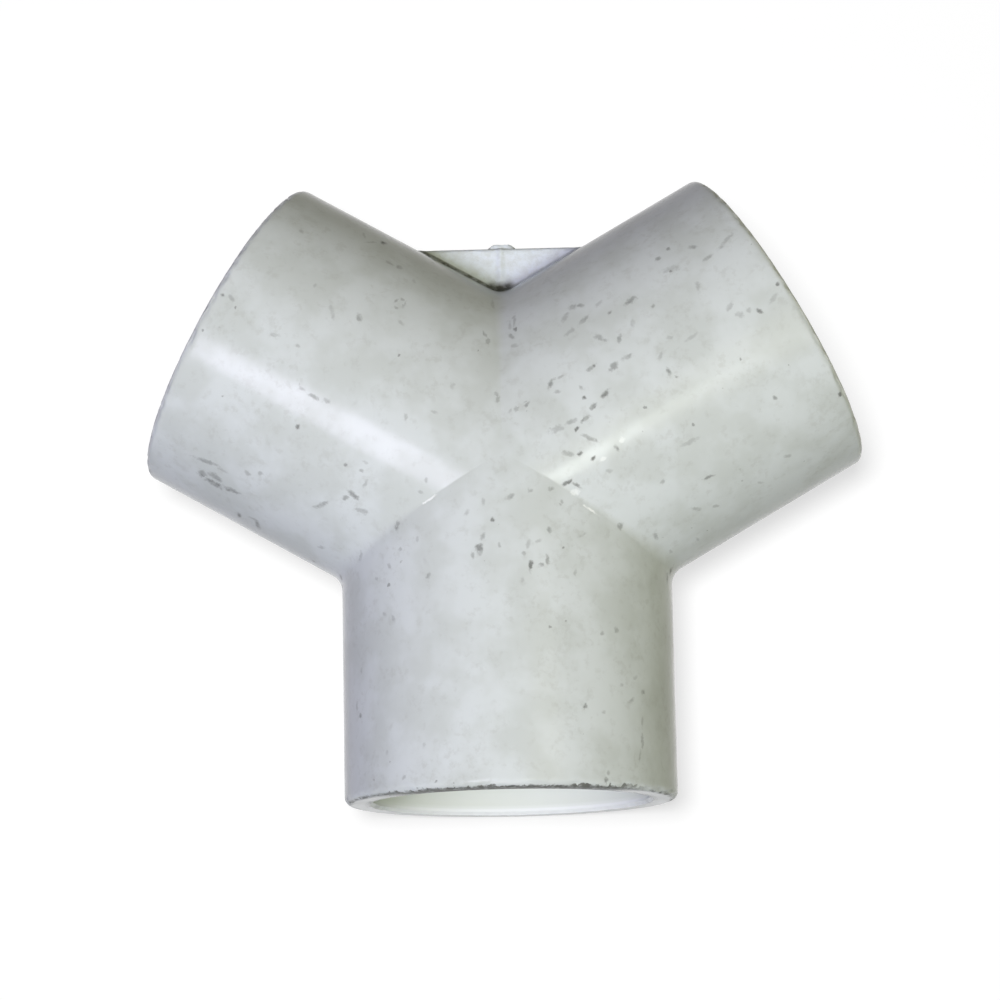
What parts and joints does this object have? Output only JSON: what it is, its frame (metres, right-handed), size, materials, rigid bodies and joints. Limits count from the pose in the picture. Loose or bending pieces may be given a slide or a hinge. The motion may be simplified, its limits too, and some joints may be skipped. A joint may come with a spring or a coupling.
{
  "type": "true wye pipe fitting",
  "caption": "One-piece moulded PVC true wye that joins equal pipes at 120 degrees, with solvent-cement sockets, pipe stops and a flat web between its arms.",
  "frame": {"origin": "the point where the centrelines of the three branches cross, in the mid-plane of the body", "axes": "+Z is square to the plane of the three centrelines and up as the fitting lies flat; -Y runs out along the single branch; the two arms run 30 degrees above +X and -X"},
  "size_m": [0.1272, 0.1104, 0.0584],
  "materials": {
    "pvc": "satin"
  },
  "bodies": {
    "root": {"wye_body": "pvc"}
  },
  "joints": []
}
